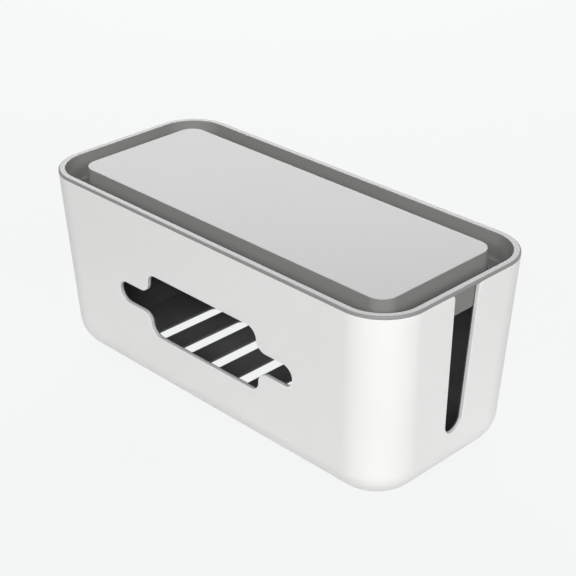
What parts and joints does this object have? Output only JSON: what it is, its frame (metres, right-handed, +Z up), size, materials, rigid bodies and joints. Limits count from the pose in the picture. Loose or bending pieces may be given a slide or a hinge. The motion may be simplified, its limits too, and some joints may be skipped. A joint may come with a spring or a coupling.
{
  "type": "cable management box",
  "caption": "Rounded box that hides a power strip and its leads, with a lift-off grooved lid, a cable slot in each end and a vent window.",
  "frame": {"origin": "on the ground, under the middle of the box", "axes": "+X along the box's length, -Y is the way the window faces, +Z up"},
  "size_m": [0.31, 0.1386, 0.1338],
  "materials": {
    "shell": "satin white",
    "liner": "charcoal, fine moulded texture",
    "lid": "mid grey, satin",
    "feet": "matte dark grey"
  },
  "bodies": {
    "base": {"outer_shell": "shell", "inner_liner": "liner", "foot_front_left": "feet", "foot_front_right": "feet", "foot_back_left": "feet", "foot_back_right": "feet"},
    "lid": {"lid": "lid"}
  },
  "joints": [
    {"name": "lid_lift", "type": "slide", "parent": "base", "child": "lid", "axis": [0, 0, 1], "range_m": [0, 0.06]}
  ]
}
